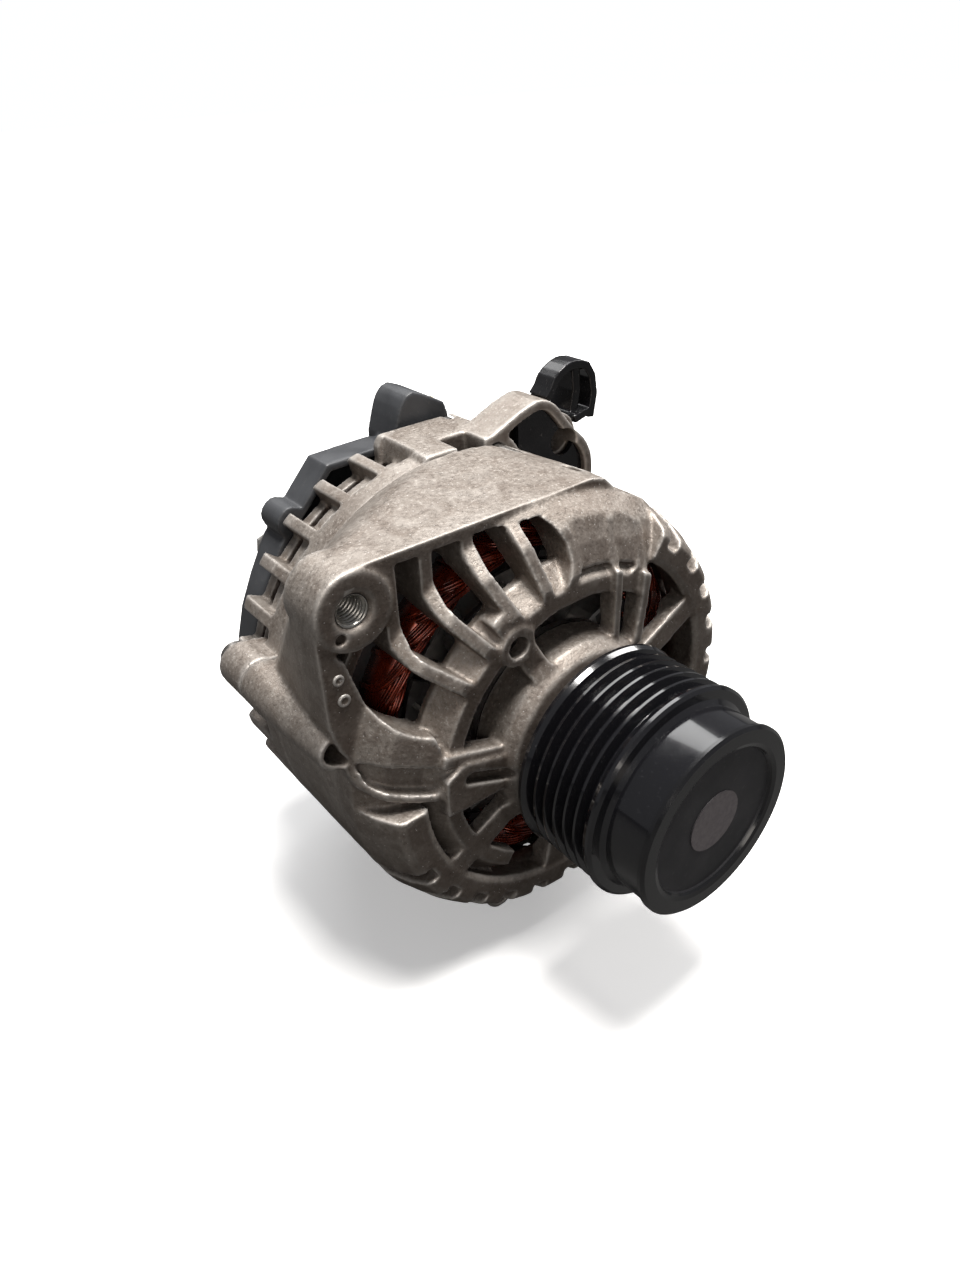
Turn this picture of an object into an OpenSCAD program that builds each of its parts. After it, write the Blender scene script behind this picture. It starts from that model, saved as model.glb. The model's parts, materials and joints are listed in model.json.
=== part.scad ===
// Car alternator with a freewheel (one-way clutch) poly-V pulley.
// The shaft runs along Y: the pulley is at -Y and the plastic rear cover at +Y. +Z is up.
// The origin is on the shaft axis, in the plane of the drive-end bracket's front face.

/* [Housing] */
// Radius of the round cast housing
body_r = 64.5; // [64:0.5:66]
// Wall thickness of the castings
wall = 3.2; // [2.8:0.1:3.6]
// Distance from the front face to the seam between the two castings
seam_y = 53; // [52:1:54]
// Distance from the front face to the rear face of the rear casting
rear_y = 79; // [78:1:80]
// Width of the cooling slots around the front casting
slot_w = 5; // [3:0.2:5.6]

/* [Mounting ear] */
// Sideways place of the threaded boss
boss_x = -57.6; // [-59:0.2:-57]
// Height of the threaded boss
boss_z = 55.1; // [54:0.1:55.2]
// Radius of the threaded boss
boss_r = 10.4; // [9.5:0.1:10.5]
// Minor radius of the M8 thread in the boss
thread_r = 3.4; // [3.3:0.05:3.6]
// Depth of the threaded boss, which the hole runs through
boss_depth = 15; // [12:1:18]
// Radius of the bore through the rear lug
lug_bore_r = 4.25; // [4:0.05:5]

/* [Pulley] */
// Outer radius of the belt pulley
pulley_r = 30; // [29:0.5:31]
// Number of belt grooves
grooves = 6; // [5:1:6]
// Distance between belt grooves
groove_pitch = 3.56; // [3.5:0.01:3.6]
// Radius of the plain nose in front of the grooves
nose_r = 25.7; // [25:0.1:26]

/* [Machine] */
// Outer radius of the claw-pole rotor
rotor_r = 45.6; // [45:0.1:45.7]
// Air gap between rotor and stator
air_gap = 0.4; // [0.3:0.05:0.6]
// Number of stator slots
stator_slots = 36; // [36:12:48]
// Number of claws on each pole wheel
claws = 6; // [6:1:6]
// Shaft radius at the front bearing and pulley
shaft_r = 8.5; // [8.5:0.1:8.5]

/* [Hidden] */

$fn = 64;
eps = 0.01;
run_gap = 0.03;

// The castings
aluminium = [0.66, 0.64, 0.61];
rib_pitch = 360 / 28;
rib_a = 102;
rib_w = 3.8;
ring_in = 49.5;
slot_floor = 55.2;
spokes = [[24, 8], [118, 7], [213, 8], [262, 8], [312, 8]];
plat_z = 65.5;
plat_x = 16;
ear_y = 11;
ear_back = 20;
ear_left = -68;
core_r = 60.5;
core_y0 = 28;
core_y1 = 60;
hub_r = 27.5;
hub_end = 10.05;
bolt_r = 2.5;
bolt_ring = 68.5;
bolt_a = [164.5, -15.5, 254.5];
top_bolt = [17.5, 60.7];
lug_end = 66;
lug_r = 6.9;
fin_pitch = 12;
fin_a = 93;
arm_bore = [45, 56.4];
arm_back = 67;

// The bearings: [inner radius, outer radius, width, ball radius, ball count, front face]
front_brg = [8.5, 23.5, 14, 4.3, 7, -4];
rear_brg = [7.5, 17.5, 11, 3, 8, 71];
race_t = 0.32;

// The pulley
nose_y = -48.2;
rim_y0 = -36.5;
rim_y1 = -10.1;
clutch_bore = 19.2;
roller_r = 2;
rollers = 16;

// The rotor
pole_y0 = 27;
pole_y1 = 63;
stator_in = rotor_r + air_gap;

// The rear end
ring_y = [87, 92.6];
ring_w = 4.6;
ring_r = 7.6;
cover_y0 = rear_y + 0.1;
cover_y1 = 101;
cover_y2 = 90;
stud_angles = [140, 240, 335];
stud_r = 47;
brush_w = 4.4;
brush_d = 4.4;
brush_len = 13;
holder_z = -32;
stud_y = 89.5;
stud_z = 64.5;

// ---- helpers ----

// A flat shape drawn in X-Z, as a slab from y0 to y1
module slab(y0, y1) {
    translate([0, y1, 0]) rotate([90, 0, 0]) linear_extrude(y1 - y0) children();
}

// A profile drawn as [radius, y], turned about the shaft axis from angle a0 to a1
module turned(a0 = 0, a1 = 360) {
    rotate([90, 0, 0]) rotate([0, 0, a0]) rotate_extrude(angle = a1 - a0) mirror([0, 1]) children();
}

// A plain ring about the shaft axis
module ring(r0, r1, y0, y1) {
    turned() translate([r0, y0]) square([r1 - r0, y1 - y0]);
}

// Puts a shape drawn on +X at an angle about the shaft, +X towards +Z
module at_angle(a) {
    rotate([0, -a, 0]) children();
}

// A cylinder parallel to the shaft
module pin_y(x, z, r, y0, y1, fn = 48) {
    translate([x, y1, z]) rotate([90, 0, 0]) cylinder(r = r, h = y1 - y0, $fn = fn);
}

function polar(r, a) = [r * cos(a), r * sin(a)];
function arc(c, r, a0, a1, n = 8) = [for (i = [0:n]) c + polar(r, a0 + (a1 - a0) * i / n)];
function bezier(p, q, s, n = 6) =
    [for (i = [0:n]) let (t = i / n) (1 - t) * (1 - t) * p + 2 * t * (1 - t) * q + t * t * s];
function unit(v) = v / norm(v);
function tangent(p, i) = unit(p[min(i + 1, len(p) - 1)] - p[max(i - 1, 0)]);
function side(p, i, d) = p[i] + d * [-tangent(p, i)[1], tangent(p, i)[0]];

// A strip of even width along a line of points
module ribbon(p, w) {
    n = len(p) - 1;
    polygon(concat([for (i = [0:n]) side(p, i, w / 2)], [for (i = [n:-1:0]) side(p, i, -w / 2)]));
}

// A ring sector between two angles, drawn in X-Z
module sector(r0, r1, a0, a1, n = 12) {
    polygon(concat(arc([0, 0], r1, a0, a1, n), arc([0, 0], r0, a1, a0, n)));
}

// ---- front casting ----

// Front outline of the ear: platform on top, boss corner and left wall
module ear_outline(inset = 0) {
    offset(delta = -inset) polygon(concat(
        [[24, 40], [26.8, 47], [27.4, 53.7], [24.4, 60.6], [20.5, 64.3], [plat_x, plat_z]],
        arc([boss_x, boss_z], boss_r, 90, 180, 6),
        [[ear_left, 27], [-66.2, 19.5], [-63.6, 14.5], [-40, 10]]
    ));
}

// The ear blends back from its front outline to the round body at the seam
module ear_blend(inset = 0, y0 = 0, y1 = seam_y - 0.1, trim = 0) {
    hull() {
        slab(y0, ear_back - inset) ear_outline(inset);
        slab(seam_y - 2, y1) sector(40, body_r + 1 - inset, 72 + trim, 164.3 - trim);
    }
}

// One inner rib of the ear: radial over the bell, then upright to the platform
module ear_rib(a, lean) {
    top = polar(62, a);
    line = concat([polar(43, a), polar(54, a)],
        bezier(polar(57, a), polar(60.5, a), [top[0] + lean, top[1] + 2], 4),
        [[top[0] + lean, plat_z - 1]]);
    slab(0, 24) ribbon(line, rib_w);
}

// Solid of revolution inside the casting: the room for fan, stator and windings
module front_room() {
    turned() polygon([[hub_r, 9.8], [hub_r, 4], [40, 4.5], [47.5, 8.5], [50.5, 12], [57, 17],
        [core_r, 22], [core_r, seam_y + 1], [0, seam_y + 1], [0, 9.8]]);
}

// The closed lower cone and inner ring in front of the windings
module bell_cone(a0, a1) {
    turned(a0, a1) polygon([[40.2, 0], [45, 0], [50.5, 7], [48.5, 12], [40.2, 5]]);
}

// The round body, with blocks around its front edge and cooling slots between them
module round_body() {
    difference() {
        turned() polygon([[ring_in, 1.2], [51, 0], [57.5, 0], [59.2, 1.2], [62, 6.5], [body_r, 14],
            [body_r, seam_y], [core_r - 0.4, seam_y], [core_r - 0.4, 22], [54, 15], [51.2, 10]]);
        for (k = [4:20]) at_angle(rib_a - k * rib_pitch)
            translate([slot_floor, -1, -slot_w / 2]) cube([20, 24.3, slot_w]);
        slab(-1, 24.6) polygon(concat([[0, 0]], arc([0, 0], 90, 57, 181)));
    }
}

// A spoke from the bearing hub to the front ring
module spoke(a, w, r1 = 51) {
    at_angle(a) translate([0, 0, -w / 2]) linear_extrude(w)
        polygon([[hub_r - 2, -3.2], [hub_r + 3, -0.6], [r1, 0.6], [r1, 7], [hub_r - 2, 9]]);
}

// The tapered lug around one through bolt on the front casting, with a recess at its front end
module front_lug(a) {
    c = polar(bolt_ring, a);
    difference() {
        hull() {
            pin_y(c[0], c[1], 5.2, 13, 14);
            pin_y(c[0], c[1], lug_r, 44, seam_y - 0.05);
            at_angle(a) translate([61.6, 15, -5]) cube([2, seam_y - 16, 10]);
        }
        pin_y(c[0], c[1], 3.6, 12, 25, 32);
    }
}

module front_bracket() {
    color(aluminium) difference() {
        union() {
            difference() {
                union() {
                    ear_shell();
                    difference() {
                        union() {
                            ear_contents();
                            round_body();
                            for (s = spokes) spoke(s[0], s[1]);
                            for (a = bolt_a) front_lug(a);
                            pin_y(-20, 35, 5.6, -0.6, 9);
                        }
                        front_room();
                    }
                    hub_casting();
                }
                relief();
            }
            pin_y(boss_x, boss_z, boss_r - 0.2, ear_y, ear_y + boss_depth);
        }
        bracket_holes();
    }
}

// The ear's thin shell, open over the rotor and the windings
module ear_shell() {
    difference() {
        ear_blend();
        ear_blend(wall, -5, seam_y + 1, 3);
        turned() polygon([[0, -10], [44, -10], [44, 2], [50.8, 12], [57.4, 16.9], [61.4, 21.8],
            [61.4, seam_y + 1], [0, seam_y + 1]]);
    }
}

// Everything that stands in the ear's front: cone, ribs, walls, boss and shoulder
module ear_contents() {
    bell_cone(57, 236);
    ear_rib(rib_a, 0.4);
    ear_rib(rib_a + rib_pitch, 1);
    ear_rib(rib_a + 2 * rib_pitch, 0.8);
    ear_rib(rib_a + 3 * rib_pitch, 0.5);
    turned(56, 89.5) polygon([[48, 0.8], [54, 3], [60, 6.2], [body_r, 11.3], [body_r, 26], [57, 18],
        [48, 9]]);
    slab(0, 24) ribbon([[-2, 45], [0.6, 50], [0.9, 55.5], [-1.2, 60.5], [-4.6, plat_z - 1]], 3.4);
    slab(-2, 12) ribbon([[13, 24], [13.2, 44], [14, 52], [17, 60], [19, 63]], 2.6);
    slab(-2, 12) ribbon([[21.4, 19], [23.4, 32], [24.2, 42], [26, 50]], 3);
    ear_floor_wall();
    turned(164, 182) polygon([[43, 3], [50.5, 5], [58, 8.5], [body_r, 13.5], [body_r, 26], [57, 18],
        [44, 9]]);
    slab(0, 24) polygon(concat([[-57, 14], [-64.5, 17], [-67.5, 30], [-66, 48], [-61.2, 43]],
        bezier([-58.4, 33], [-56, 21.5], [-45.5, 19.5], 6), [[-44, 12]]));
    slab(-0.4, 17) ribbon(concat([[-64.5, 14.5], [-62.6, 7.5]],
        bezier([-60, 5.4], [-52, 1.6], [-46.5, 1.7], 4), [[-44.5, 4.6]]), 2.6);
    slab(-2.5, 6) polygon([[-24, 5], [-40, 9.6], [-45.6, 7], [-46, -4.6], [-24, -5.6]]);
}

// The ear's lower wall, which sweeps from the left corner to the bearing hub
module ear_floor_wall() {
    slab(-1.6, 24) ribbon([[-26, 6.2], [-40, 10.8], [-54, 14.6], [-63.6, 16.8]], 3.8);
}

// The front faces fall back towards the rim of the bell, down to the ear's front plane
module relief() {
    turned(57.6, 180) polygon([[47, -20], [47, -0.5], [59, 5], [65, ear_y + 0.9], [110, ear_y + 0.9],
        [110, -20]]);
}

module hub_casting() {
    turned() polygon([[11.5, -6.6], [19, -6.6], [25.5, -4.6], [hub_r + 0.5, -1], [hub_r + 0.5, hub_end],
        [front_brg[1], hub_end], [front_brg[1], -4], [11.5, -4]]);
}

module bracket_holes() {
    pin_y(boss_x, boss_z, thread_r, ear_y - 1, ear_y + boss_depth + 1);
    pin_y(boss_x, boss_z, 5, ear_y - 1, ear_y + 1.2);
    pin_y(-61.7, 49.4, 1.3, ear_y - 2, ear_y + 3.4, 24);
    pin_y(-20, 35, 2.9, -1, 9, 32);
    for (a = bolt_a) {
        c = polar(bolt_ring, a);
        pin_y(c[0], c[1], bolt_r, 24, seam_y + 1);
    }
    pin_y(top_bolt[0], top_bolt[1], bolt_r, 36, seam_y + 1);
    translate([17.2, 19, 62]) cube([2.4, 7, 6]);
    translate([3.1, 27, plat_z - 0.5]) cube([0.8, seam_y, 2]);
    slab(-6, 1.5) hull() {
        translate([-38, 4.2]) circle(r = 1.7, $fn = 24);
        translate([-27, -0.4]) circle(r = 1.7, $fn = 24);
    }
    for (i = [0:3]) at_angle(45 + 90 * i) translate([25.4, 0, 0]) pin_y(0, 0, 1.5, 4.5, hub_end + 1, 24);
}

// ---- rear casting ----

module rear_bracket() {
    color(aluminium) difference() {
        union() {
            ring(core_r - 0.5, body_r, seam_y, 61.5);
            ring(56.5, 61, 65.5, 69.5);
            ring(50.5, 58.5, 75, rear_y);
            for (k = [0:29]) if (k > 0 && k < 28) at_angle(fin_a + fin_pitch * k) rear_fin();
            for (k = [0:5]) at_angle(18 + 60 * k) translate([19, 75, -4]) cube([34, 4, 8]);
            for (a = stud_angles) stud_post(a, 5.4, 76, rear_y + 3);
            ring(rear_brg[1] + 1, 23, 70, 84);
            ring(rear_brg[0] + 3, 23, 83, 85);
            for (a = bolt_a) {
                c = polar(bolt_ring, a);
                pin_y(c[0], c[1], lug_r, seam_y, lug_end);
                at_angle(a) translate([56, seam_y, -lug_r]) cube([10, lug_end - seam_y, 2 * lug_r]);
            }
            top_block();
            rear_arm();
        }
        pin_y(arm_bore[0], arm_bore[1], lug_bore_r, 50, arm_back + 5);
        for (a = bolt_a) {
            c = polar(bolt_ring, a);
            pin_y(c[0], c[1], bolt_r + 0.2, seam_y - 1, lug_end + 1);
            pin_y(c[0], c[1], 4.6, lug_end, rear_y + 1);
        }
        pin_y(top_bolt[0], top_bolt[1], bolt_r + 0.2, seam_y - 1, rear_y + 1);
        pin_y(top_bolt[0], top_bolt[1], 4.8, 74.4, rear_y + 1);
        translate([3.6, 52, 57.6]) cube([9.4, 10.6, 12]);
        ring(0, core_r, seam_y, core_y1 + 0.02);
        for (a = stud_angles) stud_post(a, 2.4, 75, 84);
    }
}

// One cooling fin, rounded at its outer rear tip
module rear_fin() {
    translate([0, 0, -2]) linear_extrude(4) polygon(concat([[56.6, 57], [body_r, 55]],
        arc([body_r - 2.2, rear_y - 2.2], 2.2, 0, 90, 4), [[56.6, rear_y]]));
}

module top_block() {
    difference() {
        slab(seam_y, rear_y) polygon([[-9, 58], [-9, 63.5], [-7, plat_z + 0.4], [20, plat_z + 0.4],
            [24, 62.5], [27, 58], [23, 52.6], [11, 56.4], [0, 57.2]]);
        slab(60, 76) polygon([[-20, 50], [-14, 70], [-6, 70], [-10, 50]]);
    }
}

// The hollow arm on the upper right, with its bored lug
module rear_arm() {
    difference() {
        slab(seam_y, arm_back) arm_outline();
        slab(seam_y - 1, arm_back - 3) offset(delta = -3.2) arm_outline();
        ring(0, core_r, seam_y, rear_y + 1);
    }
    difference() {
        pin_y(arm_bore[0], arm_bore[1], 8.2, 58, arm_back + 4);
        ring(0, core_r, seam_y, rear_y + 1);
    }
}
module arm_outline() {
    polygon(concat([[12, 60], [15, 65.6], [20, 67.6], [27, 70.6]],
        bezier([33, 72.2], [38.5, 72.5], [42.4, 67.5], 4), [[48.5, 60]],
        bezier([52.4, 56.4], [57, 51.4], [56.5, 44], 4), [[55.6, 34], [47, 34]],
        arc([0, 0], 57.5, 44, 74, 5)));
}

// ---- stator ----

module stator_core() {
    color([0.45, 0.45, 0.46]) difference() {
        ring(stator_in, core_r - 0.1, core_y0, core_y1);
        for (k = [0:stator_slots - 1]) at_angle(k * 360 / stator_slots + 5)
            translate([stator_in - 1, core_y0 - 1, -1.7]) cube([9.6, core_y1 - core_y0 + 2, 3.4]);
    }
}

module stator_windings() {
    color([0.42, 0.1, 0.06]) {
        for (k = [0:stator_slots - 1]) at_angle(k * 360 / stator_slots + 5)
            translate([stator_in + 1, core_y0 - 2, -1.5]) cube([7.2, core_y1 - core_y0 + 4, 3]);
        turned() polygon([[stator_in + 1.2, core_y0 - 1], [stator_in + 1.6, 17], [49.5, 14.5], [52, 14.8],
            [55, 17], [56.4, 20], [55.6, core_y0 - 1]]);
        turned() polygon([[stator_in + 1.2, core_y1 + 1], [stator_in + 1.6, 70], [50, 73], [53.5, 73],
            [55.6, 70.5], [55.4, core_y1 + 1]]);
    }
}

module through_bolts() {
    color([0.5, 0.5, 0.52]) {
        for (a = bolt_a) through_bolt(polar(bolt_ring, a), lug_end, 27, -1);
        through_bolt(top_bolt, 74.42, 37, -1);
    }
}

// One socket-head bolt: its head sits at y0, its tip at y1, and dir is +1 when it points rearward
module through_bolt(c, y0, y1, dir) {
    difference() {
        union() {
            pin_y(c[0], c[1], 4.2, min(y0, y0 - 4.5 * dir), max(y0, y0 - 4.5 * dir));
            pin_y(c[0], c[1], bolt_r - eps, min(y0 - dir, y1), max(y0 - dir, y1));
        }
        pin_y(c[0], c[1], 2.3, min(y0 - 2 * dir, y0 - 6 * dir), max(y0 - 2 * dir, y0 - 6 * dir), 6);
    }
}

// ---- bearings ----

module race(b, inner) {
    pitch_r = (b[0] + b[1]) / 2;
    t = (b[1] - b[0]) * race_t / 2 * 1.6;
    difference() {
        if (inner) ring(b[0], b[0] + t, b[5], b[5] + b[2]);
        else ring(b[1] - t, b[1], b[5], b[5] + b[2]);
        turned() translate([pitch_r, b[5] + b[2] / 2]) circle(r = b[3] + run_gap, $fn = 48);
    }
}

module balls(b) {
    for (k = [0:b[4] - 1]) at_angle(k * 360 / b[4])
        translate([(b[0] + b[1]) / 2, b[5] + b[2] / 2, 0]) sphere(r = b[3], $fn = 32);
}

module cage(b) {
    pitch_r = (b[0] + b[1]) / 2;
    difference() {
        ring(pitch_r - 1, pitch_r + 1, b[5] + b[2] / 2 - b[3] - 0.6, b[5] + b[2] / 2 + b[3] + 0.6);
        for (k = [0:b[4] - 1]) at_angle(k * 360 / b[4])
            translate([pitch_r - 3, b[5] + b[2] / 2, 0]) rotate([0, 90, 0])
                cylinder(r = b[3] + 0.05, h = 6);
    }
}

module front_bearing_outer_race() { color("silver") race(front_brg, false); }
module front_bearing_inner_race() { color("silver") race(front_brg, true); }
module front_bearing_balls() { color("lightgray") balls(front_brg); }
module front_bearing_cage() { color([0.55, 0.45, 0.3]) cage(front_brg); }
module rear_bearing_outer_race() { color("silver") race(rear_brg, false); }
module rear_bearing_inner_race() { color("silver") race(rear_brg, true); }
module rear_bearing_balls() { color("lightgray") balls(rear_brg); }
module rear_bearing_cage() { color([0.55, 0.45, 0.3]) cage(rear_brg); }

module front_bearing_seal() {
    color([0.1, 0.1, 0.1]) ring(12.45, 19.6, front_brg[5] + 0.2, front_brg[5] + 1.2);
}

module bearing_retainer() {
    color([0.6, 0.6, 0.6]) difference() {
        ring(17, hub_r + 0.4, hub_end, hub_end + 1.6);
        for (i = [0:3]) at_angle(45 + 90 * i) translate([25.4, 0, 0])
            pin_y(0, 0, 1.7, hub_end - 1, hub_end + 3, 24);
    }
}

module retainer_screws() {
    color([0.55, 0.5, 0.4]) for (i = [0:3]) at_angle(45 + 90 * i) translate([25.4, 0, 0]) {
        pin_y(0, 0, 1.45, 5, hub_end + 1.7, 24);
        difference() {
            pin_y(0, 0, 2.6, hub_end + 1.6, hub_end + 3.4, 32);
            pin_y(0, 0, 1.2, hub_end + 2.4, hub_end + 4, 6);
        }
    }
}

module shaft_spacer() {
    color("silver") ring(shaft_r, 11, front_brg[5] + front_brg[2], 24);
}

module rear_bearing_sleeve() {
    color([0.12, 0.12, 0.12]) ring(rear_brg[1], rear_brg[1] + 1, 71, 82);
}

// ---- rotor ----

module rotor_shaft() {
    color("silver") turned() polygon([[0, -46], [7.6, -46], [shaft_r - 0.6, -45.4], [shaft_r - 0.6, -24],
        [shaft_r, -24], [shaft_r, 24], [9.5, 24], [9.5, 66], [rear_brg[0], 66], [rear_brg[0], 84],
        [5, 84], [5, 98], [0, 98]]);
}

// A pole wheel: a thick disc with claws that reach over the coil
module pole_wheel() {
    difference() {
        union() {
            ring(9.5, 35, 0, 8.5);
            intersection() {
                for (k = [0:claws - 1]) at_angle(k * 360 / claws) {
                    translate([12, 0, -11]) cube([40, 8.5, 22]);
                    translate([37.5, 0, 0]) rotate([0, 90, 0]) linear_extrude(12)
                        polygon([[-11, 8], [11, 8], [5.2, 34], [-5.2, 34]]);
                }
                ring(9.5, rotor_r, -1, 40);
            }
        }
        turned() polygon([[rotor_r - 5, -1], [rotor_r + 2, -1], [rotor_r + 2, 3]]);
    }
}

module front_claw_pole() { color([0.35, 0.35, 0.37]) translate([0, pole_y0, 0]) pole_wheel(); }
module rear_claw_pole() {
    color([0.35, 0.35, 0.37]) translate([0, pole_y1, 0]) mirror([0, 1, 0])
        at_angle(180 / claws) pole_wheel();
}

module coil_bobbin() {
    color([0.85, 0.82, 0.7]) turned() polygon([[9.6, 35.6], [36, 35.6], [36, 36.8], [18, 36.8],
        [18, 53.2], [36, 53.2], [36, 54.4], [9.6, 54.4]]);
}

module field_coil() { color([0.55, 0.2, 0.1]) ring(18, 35.4, 36.8, 53.2); }

// A pressed fan: a plate with curved blades that stand away from the rotor
module fan(blade_n, blade_h) {
    difference() {
        ring(13, 40, 0, 1.4);
        for (k = [0:blade_n - 1]) at_angle((k + 0.5) * 360 / blade_n)
            translate([34, -1, -3.5]) cube([10, 4, 7]);
    }
    for (k = [0:blade_n - 1]) at_angle(k * 360 / blade_n)
        slab(-blade_h, eps) ribbon(arc([28, -12], 15, 50, 118, 6), 1.4);
}

module front_fan() { color([0.4, 0.4, 0.42]) translate([0, pole_y0 - 1.4, 0]) fan(11, 8); }
module rear_fan() {
    color([0.4, 0.4, 0.42]) translate([0, pole_y1 + 1.4, 0]) mirror([0, 1, 0]) fan(9, 5);
}

module slip_ring_insulator() {
    color([0.15, 0.1, 0.08]) difference() {
        ring(5, ring_r, 86, 98);
        for (y = ring_y) ring(ring_r - 1.2, ring_r + 1, y, y + ring_w);
    }
}
module slip_ring(y) { color([0.75, 0.45, 0.25]) ring(ring_r - 1.2, ring_r, y, y + ring_w); }
module slip_ring_inner() { slip_ring(ring_y[0]); }
module slip_ring_outer() { slip_ring(ring_y[1]); }

// ---- pulley ----

module pulley_hub() {
    color([0.3, 0.3, 0.32]) difference() {
        turned() polygon([[shaft_r - 0.6, -45], [15, -45], [15, -16], [20.4, -16], [20.4, -14],
            [13.4, -14], [11, -8], [11, -4], [shaft_r, -4], [shaft_r, -24], [shaft_r - 0.6, -24]]);
        pin_y(0, 0, shaft_r - 0.6 - eps, -50, -46);
    }
}

module clutch_rollers() {
    color("lightgray") for (k = [0:rollers - 1]) at_angle(k * 360 / rollers)
        pin_y(15 + roller_r + 0.05, 0, roller_r, -41, -20, 32);
}

module clutch_cage() {
    color([0.5, 0.42, 0.3]) difference() {
        ring(15.6, 18.6, -43, -18);
        for (k = [0:rollers - 1]) at_angle(k * 360 / rollers)
            pin_y(15 + roller_r + 0.05, 0, roller_r + 0.04, -41.1, -19.9, 32);
    }
}

module pulley_seal() { color([0.08, 0.08, 0.08]) ring(13.45, 21.4, -13.9, -12.2); }

// One flank-to-flank groove, drawn on the rim's outline
function groove(y) = [[pulley_r - 0.6, y - groove_pitch / 2 + 0.35], [pulley_r - 3.1, y - 0.45],
    [pulley_r - 3.1, y + 0.45], [pulley_r - 0.6, y + groove_pitch / 2 - 0.35]];
groove_y0 = (rim_y0 + rim_y1) / 2 - groove_pitch * (grooves - 1) / 2;

module pulley_rim() {
    color([0.06, 0.06, 0.06]) turned() polygon(concat(
        [[23.4, nose_y], [nose_r, nose_y + 0.05], [nose_r, rim_y0 - 1.2], [nose_r + 1.2, rim_y0 - 0.2],
            [pulley_r - 0.8, rim_y0], [pulley_r, rim_y0 + 0.7], [pulley_r, rim_y0 + 1.6]],
        [for (k = [0:grooves - 1]) each groove(groove_y0 + k * groove_pitch)],
        [[pulley_r, rim_y1 - 1.6], [pulley_r, rim_y1 - 0.7], [pulley_r - 0.8, rim_y1], [21.5, rim_y1],
            [21.5, -17], [clutch_bore, -17], [clutch_bore, -43.2], [21, -44.6], [23.4, -45.4]]));
}

// The snap-in cap: a raised rim round a shallow dished face
module pulley_cap() {
    color([0.12, 0.12, 0.13]) turned() polygon([[0, -48.9], [8.5, -48.9], [8.5, -48.6], [20.2, -48.6],
        [20.9, -49.6], [22, -50], [25.6, -50], [26.4, -49.3], [26.4, -48.4], [nose_r, nose_y - 0.05],
        [23.3, nose_y - 0.05], [23.3, -45.6], [22.4, -45.6], [22.4, -47.4], [0, -47.4]]);
}

// ---- rear end ----

// Outline of the plastic cover: faceted on the left, round elsewhere
module cover_outline(inset = 0) {
    offset(delta = -inset) polygon(concat([[-4, 61.5], [-24.5, 61], [-33.5, 51.5], [-37, 48]],
        [[-42.8, 41.5], [-49, 31], [-54, 21], [-57.5, 10]],
        arc([0, 0], 58.5, 180, 360, 22), arc([0, 0], 60, 6, 64, 8)));
}

module cover_shell(inset) {
    slab(cover_y0, cover_y2) cover_outline(inset);
    hull() {
        slab(cover_y2 - 1, cover_y2) cover_outline(inset);
        slab(cover_y1 - inset - 1, cover_y1 - inset) cover_outline(8 + inset);
    }
}

module rear_cover() {
    color([0.36, 0.36, 0.37]) difference() {
        union() {
            cover_shell(0);
            slab(82, 97) nose_outline();
            pin_y(-38, 47, 4.8, cover_y0, 90, 32);
            for (a = stud_angles) stud_post(a, 4.6, 82.5, cover_y1 - 1.5);
        }
        difference() {
            union() {
                translate([0, -1, 0]) slab(cover_y0, cover_y2) cover_outline(2.4);
                cover_shell(2.4);
            }
            for (a = stud_angles) stud_post(a, 4.6, 82.5, cover_y1 + 1);
        }
        translate([4, 84.2, 56]) cube([30, 10.6, 14.2]);
        for (k = [0:17]) at_angle(20 * k + 4) translate([14, cover_y1 - 5, -1.6]) cube([11, 8, 3.2]);
        for (k = [0:23]) if (k < 16 || k > 19) at_angle(15 * k + 6)
            translate([31, cover_y1 - 5, -1.7]) cube([12, 8, 3.4]);
        for (a = stud_angles) stud_post(a, 2.7, 80, cover_y1 + 1);
        translate([-13.4, 86, -74]) cube([26.8, 12.61, 28]);
    }
}

// A round post about one of the cover's studs
module stud_post(a, r, y0, y1) {
    at_angle(a) translate([stud_r, 0, 0]) pin_y(0, 0, r, y0, y1, 32);
}

// The shroud over the main terminal, open towards +X
module nose_outline() {
    polygon(concat([[0, 56], [0.4, 61]], bezier([2.4, 67], [4.6, 74], [9, 74], 4),
        [[13, 72.4], [20, 68.4], [21.5, 64], [22, 54], [2, 52]]));
}

module cover_studs() {
    color("silver") for (a = stud_angles) stud_post(a, 2.39, 76, cover_y1 + 5);
}
module cover_nuts() {
    color("silver") for (a = stud_angles) difference() {
        union() {
            at_angle(a) translate([stud_r, 0, 0]) pin_y(0, 0, 4, cover_y1 + 1, cover_y1 + 4.4, 6);
            stud_post(a, 5, cover_y1 + 0.02, cover_y1 + 1.2);
        }
        stud_post(a, 2.4, cover_y1 - 3, cover_y1 + 6);
    }
}

module horseshoe(r0, r1, y0, y1, a0, a1) {
    turned(a0, a1) translate([r0, y0]) square([r1 - r0, y1 - y0]);
}

diode_r = 4.6;
positive_a = [28, 66, 104];
negative_a = [10, 47, 85, 122];

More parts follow.
